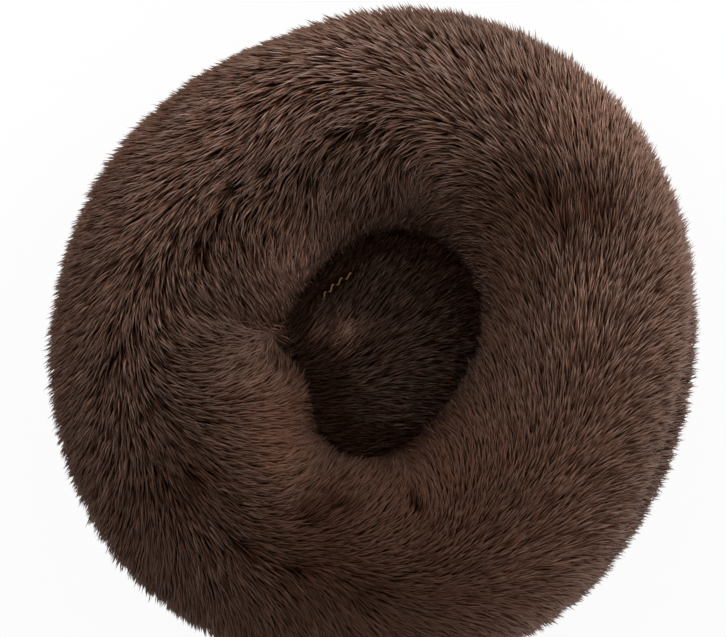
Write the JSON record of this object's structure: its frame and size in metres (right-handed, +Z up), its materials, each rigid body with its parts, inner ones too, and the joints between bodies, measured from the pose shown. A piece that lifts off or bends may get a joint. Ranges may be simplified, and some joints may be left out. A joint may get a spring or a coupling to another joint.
{
  "type": "round pet bed",
  "caption": "Round plush pet bed: a soft stuffed ring round a sunken nest for a cat or small dog, in a removable cover with a zip under its edge.",
  "frame": {"origin": "middle of the underside, on the plane that the grip dots of the base stand on", "axes": "+Z up, +Y towards the side whose lower edge has the zip"},
  "size_m": [0.5866, 0.6016, 0.199],
  "materials": {
    "plush": "long brown faux fur",
    "nest_plush": "brown faux fur",
    "base_cloth": "coated brown base cloth with grip dots",
    "liner": "white non-woven liner",
    "fibre": "white polyester fibre",
    "zip_tape": "brown woven tape with moulded teeth",
    "zip_stops": "moulded brown plastic",
    "zip_metal": "dark bronze plated zinc",
    "thread": "tan sewing thread"
  },
  "bodies": {
    "bed": {"ring_cover": "plush", "nest_floor_cover": "nest_plush", "base_cloth": "base_cloth", "ring_liner": "liner", "ring_filling": "fibre", "cushion_liner": "liner", "cushion_filling": "fibre", "zip_chain_outer": "zip_tape", "zip_chain_inner": "zip_tape", "zip_top_stop_outer": "zip_stops", "zip_top_stop_inner": "zip_stops", "zip_bottom_stop": "zip_stops", "nest_seam_thread": "thread"},
    "slider": {"zip_slider": "zip_metal"},
    "pull": {"zip_pull": "zip_metal"}
  },
  "joints": [
    {"name": "zip_slide", "type": "hinge", "parent": "bed", "child": "slider", "pos_m": [0, 0, 0], "axis": [0, 0, 1], "range_deg": [0, 101.9], "deforming": ["zip_chain_outer", "zip_chain_inner"]},
    {"name": "pull_swing", "type": "hinge", "parent": "slider", "child": "pull", "pos_m": [0.20623, 0.16642, 0.0056], "axis": [-0.6375, -0.5144, -0.5736], "range_deg": [0, 175]}
  ]
}
